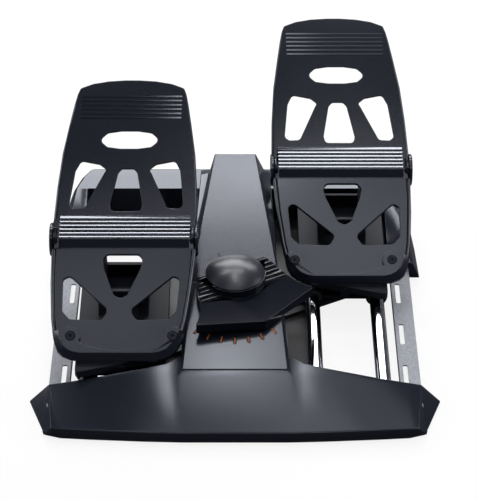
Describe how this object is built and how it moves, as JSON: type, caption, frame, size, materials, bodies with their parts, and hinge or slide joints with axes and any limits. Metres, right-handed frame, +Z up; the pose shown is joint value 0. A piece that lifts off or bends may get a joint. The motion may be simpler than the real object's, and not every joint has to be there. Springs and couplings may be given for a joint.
{
  "type": "rudder pedals",
  "caption": "Flight simulator rudder pedals: two slotted foot plates on sliding carriages over round rails, joined by a rocker on a sloping centre spine, with tilting toe brakes.",
  "frame": {"origin": "on the floor under the rocker axis, at the middle of the middle rubber foot", "axes": "+X to the right seen from the user, +Y away from the user, +Z up"},
  "size_m": [0.3854, 0.407, 0.2085],
  "materials": {
    "shell_plastic": "satin, faintly grained",
    "spine_plastic": "satin",
    "black_plastic": "glossy black",
    "cap_plastic": "semi-gloss",
    "bushing_plastic": "smooth",
    "orange_print": "printed",
    "side_steel": "fine speckled powder coat",
    "rail_chrome": "polished",
    "base_steel": "black powder coat",
    "bright_steel": "zinc plated",
    "circuit": "solder mask",
    "rubber": "matt"
  },
  "bodies": {
    "base": {"front_cover": "shell_plastic", "spine_cover": "spine_plastic", "rotor_ring": "shell_plastic", "scale_marks": "orange_print", "rear_housing": "shell_plastic", "plate_left": "side_steel", "plate_right": "side_steel", "rail_inner_left": "rail_chrome", "rail_outer_left": "rail_chrome", "rail_inner_right": "rail_chrome", "rail_outer_right": "rail_chrome", "front_bracket": "side_steel", "rear_bracket": "side_steel", "bottom_plate": "base_steel", "base_screws": "bright_steel", "circuit_board": "circuit", "cable_socket": "black_plastic", "post": "bright_steel", "foot_middle": "rubber", "foot_front_middle": "rubber", "foot_front_left": "rubber", "foot_front_right": "rubber", "foot_rear_left": "rubber", "foot_rear_right": "rubber"},
    "rotor": {"rotor_shell": "black_plastic", "rotor_cap": "cap_plastic", "rocker_arm": "base_steel", "drive_pin_left": "bright_steel", "drive_pin_right": "bright_steel", "magnet": "bright_steel"},
    "carriage_left": {"carriage_left": "black_plastic", "bushing_inner_left": "bushing_plastic", "bushing_outer_left": "bushing_plastic", "knob_left": "black_plastic", "toe_sensor_left": "black_plastic", "toe_spring_left": "bright_steel"},
    "carriage_right": {"carriage_right": "black_plastic", "bushing_inner_right": "bushing_plastic", "bushing_outer_right": "bushing_plastic", "knob_right": "black_plastic", "toe_sensor_right": "black_plastic", "toe_spring_right": "bright_steel"},
    "pedal_left": {"pedal_left": "shell_plastic", "heel_stop_left": "black_plastic", "heel_screws_left": "black_plastic", "pivot_pin_left": "bright_steel", "pivot_cap_outer_left": "shell_plastic", "pivot_cap_inner_left": "shell_plastic"},
    "pedal_right": {"pedal_right": "shell_plastic", "heel_stop_right": "black_plastic", "heel_screws_right": "black_plastic", "pivot_pin_right": "bright_steel", "pivot_cap_outer_right": "shell_plastic", "pivot_cap_inner_right": "shell_plastic"}
  },
  "joints": [
    {"name": "left_slide", "type": "slide", "parent": "base", "child": "carriage_left", "axis": [0, 1, 0], "range_m": [0, 0.114]},
    {"name": "right_slide", "type": "slide", "parent": "base", "child": "carriage_right", "axis": [0, 1, 0], "range_m": [-0.114, 0]},
    {"name": "rotor_turn", "type": "hinge", "parent": "base", "child": "rotor", "pos_m": [0, 0, 0.004], "axis": [0, 0, 1], "range_deg": [-54, 0]},
    {"name": "toe_left", "type": "hinge", "parent": "carriage_left", "child": "pedal_left", "pos_m": [-0.1058, 0.021, 0.096], "axis": [-1, 0, 0], "range_deg": [0, 16], "stiffness_Nm_per_rad": 6, "springref_deg": -6.88},
    {"name": "toe_right", "type": "hinge", "parent": "carriage_right", "child": "pedal_right", "pos_m": [0.1058, 0.135, 0.096], "axis": [-1, 0, 0], "range_deg": [0, 16], "stiffness_Nm_per_rad": 6, "springref_deg": -6.88}
  ],
  "couplings": [
    {"joint": "right_slide", "follows": "left_slide", "ratio": -1},
    {"joint": "rotor_turn", "follows": "left_slide", "rad_per_m": -8.2673}
  ]
}
